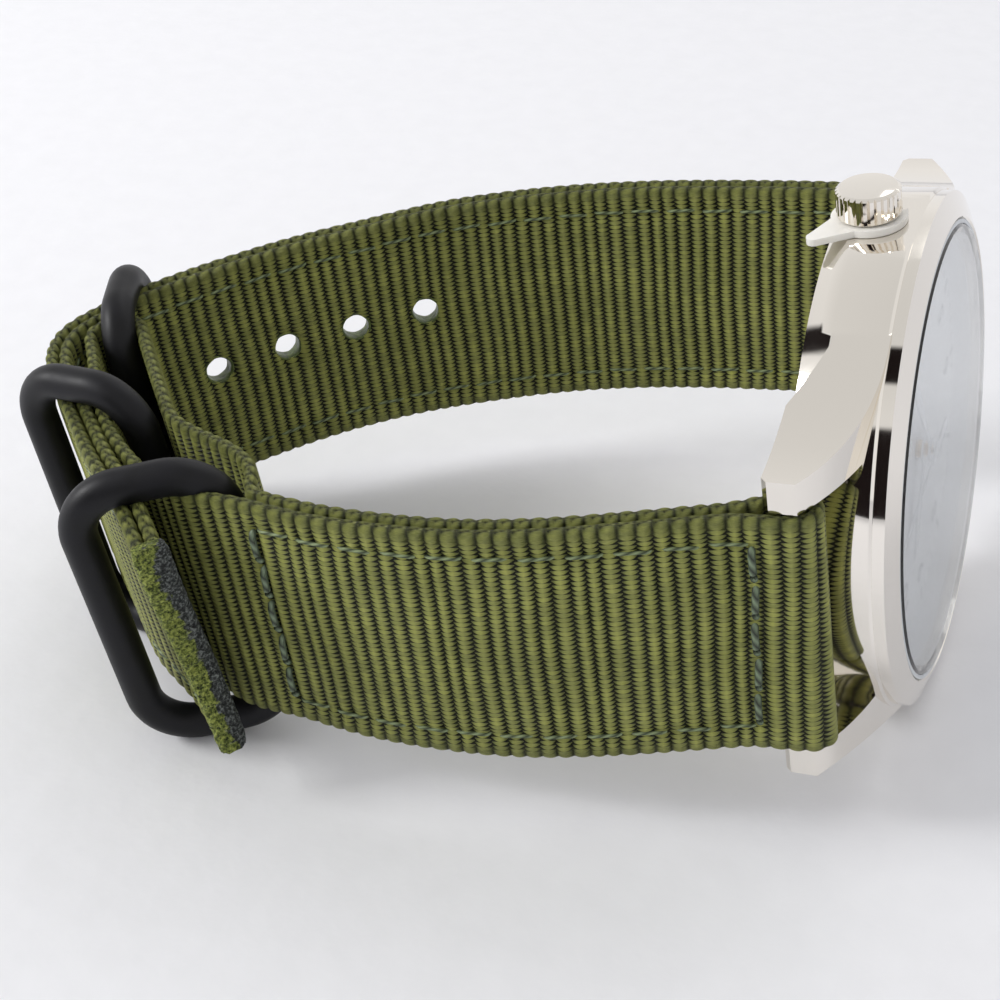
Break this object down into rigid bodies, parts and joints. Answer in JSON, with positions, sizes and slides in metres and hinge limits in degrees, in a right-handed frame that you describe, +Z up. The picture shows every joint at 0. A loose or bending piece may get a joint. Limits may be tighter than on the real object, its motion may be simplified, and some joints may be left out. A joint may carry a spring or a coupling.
{
  "type": "field watch",
  "caption": "Round steel field watch with a flat crystal and a clip holding its crown, on a nylon strap buckled shut through black rings and resting on its flank.",
  "frame": {"origin": "centre of the bounding box's footprint, on the table plane the watch lies on", "axes": "+Z up from the table, near the crown's direction; +X the way the dial faces; +Y towards the 6 o'clock side"},
  "size_m": [0.0806, 0.0642, 0.045],
  "materials": {
    "case_steel": "polished stainless steel",
    "inner_steel": "turned steel",
    "crystal_glass": "clear, flat",
    "crystal_gasket": "grey, satin",
    "dial_paint": "satin silver",
    "dial_ring_paint": "satin silver",
    "hand_paint": "bright silver",
    "second_hand_paint": "bright silver",
    "pipe_brass": "turned",
    "movement_metal": "nickel plated",
    "holder_plastic": "moulded",
    "cell_steel": "nickel plated can",
    "gasket_rubber": "matte",
    "stopper_plastic": "milky, soft",
    "nylon": "ribbed olive webbing, heat-sealed end",
    "ring_black": "matte black coat"
  },
  "bodies": {
    "case": {"mid_case": "case_steel", "bezel": "case_steel", "crystal_gasket": "crystal_gasket", "crystal": "crystal_glass", "dial": "dial_paint", "dial_ring": "dial_ring_paint", "movement": "movement_metal", "movement_holder": "holder_plastic", "cell": "cell_steel", "case_back": "case_steel", "case_back_gasket": "gasket_rubber", "crown_tube": "inner_steel", "spring_bar_12": "inner_steel", "spring_bar_6": "inner_steel", "buckle_strap": "nylon", "hole_strap": "nylon"},
    "keyless": {"setting_lever": "inner_steel"},
    "winding": {"crown": "case_steel", "winding_stem": "inner_steel", "crown_gasket": "gasket_rubber"},
    "stopper": {"crown_stopper": "stopper_plastic"},
    "minute": {"minute_hand": "hand_paint", "minute_pipe": "pipe_brass"},
    "hour": {"hour_hand": "hand_paint", "hour_pipe": "pipe_brass"},
    "second": {"second_hand": "second_hand_paint", "second_pin": "inner_steel"},
    "tip_12_crown": {"bar_tip_12_crown": "inner_steel"},
    "tip_12_far": {"bar_tip_12_far": "inner_steel"},
    "tip_6_crown": {"bar_tip_6_crown": "inner_steel"},
    "tip_6_far": {"bar_tip_6_far": "inner_steel"},
    "near_keeper": {"keeper_ring_near": "ring_black"},
    "middle_keeper": {"keeper_ring_middle": "ring_black"},
    "buckle": {"buckle_ring": "ring_black"},
    "tang": {"buckle_tang": "ring_black"}
  },
  "joints": [
    {"name": "crown_pull", "type": "slide", "parent": "case", "child": "keyless", "axis": [-0.1277, -0.0541, 0.9903], "range_m": [0, 0.0006], "stiffness_N_per_m": 100, "springref_m": -0.0005},
    {"name": "crown_turn", "type": "hinge", "parent": "keyless", "child": "winding", "pos_m": [0.02944, 0.00469, 0.04356], "axis": [-0.1277, -0.0541, 0.9903], "continuous": true},
    {"name": "stopper_pull", "type": "slide", "parent": "case", "child": "stopper", "axis": [-0.6454, -0.7536, -0.1244], "range_m": [0, 0.0065]},
    {"name": "minute_turn", "type": "hinge", "parent": "case", "child": "minute", "pos_m": [0.0349, 0.00591, 0.02151], "axis": [0.9918, 0, 0.1279], "continuous": true},
    {"name": "hour_turn", "type": "hinge", "parent": "case", "child": "hour", "pos_m": [0.03441, 0.00591, 0.02144], "axis": [0.9918, 0, 0.1279], "continuous": true},
    {"name": "second_turn", "type": "hinge", "parent": "case", "child": "second", "pos_m": [0.0353, 0.00591, 0.02156], "axis": [0.9918, 0, 0.1279], "continuous": true},
    {"name": "bar_tip_12_crown_press", "type": "slide", "parent": "case", "child": "tip_12_crown", "axis": [0.1277, 0.0541, -0.9903], "range_m": [0, 0.0013], "stiffness_N_per_m": 200, "springref_m": -0.0005},
    {"name": "bar_tip_12_far_press", "type": "slide", "parent": "case", "child": "tip_12_far", "axis": [-0.1277, -0.0541, 0.9903], "range_m": [0, 0.0013], "stiffness_N_per_m": 200, "springref_m": -0.0005},
    {"name": "bar_tip_6_crown_press", "type": "slide", "parent": "case", "child": "tip_6_crown", "axis": [0.1277, 0.0541, -0.9903], "range_m": [0, 0.0013], "stiffness_N_per_m": 200, "springref_m": -0.0005},
    {"name": "bar_tip_6_far_press", "type": "slide", "parent": "case", "child": "tip_6_far", "axis": [-0.1277, -0.0541, 0.9903], "range_m": [0, 0.0013], "stiffness_N_per_m": 200, "springref_m": -0.0005},
    {"name": "near_keeper_tilt", "type": "hinge", "parent": "case", "child": "near_keeper", "pos_m": [-0.01143, -0.02327, 0.01615], "axis": [-0.1383, -0.035, 0.9898], "range_deg": [-1.5, 1.5]},
    {"name": "middle_keeper_tilt", "type": "hinge", "parent": "case", "child": "middle_keeper", "pos_m": [-0.02299, -0.01686, 0.016], "axis": [-0.1284, -0.0595, 0.9899], "range_deg": [-1.5, 1.5]},
    {"name": "buckle_tilt", "type": "hinge", "parent": "case", "child": "buckle", "pos_m": [-0.03154, -0.00645, 0.015], "axis": [-0.1277, -0.0541, 0.9903], "range_deg": [-1.5, 1.5]},
    {"name": "tang_lift", "type": "hinge", "parent": "buckle", "child": "tang", "pos_m": [-0.03154, -0.00645, 0.015], "axis": [-0.1277, -0.0541, 0.9903], "range_deg": [0, 4]}
  ],
  "couplings": [
    {"joint": "hour_turn", "follows": "minute_turn", "ratio": 0.083333},
    {"joint": "crown_turn", "follows": "minute_turn", "ratio": 3}
  ]
}
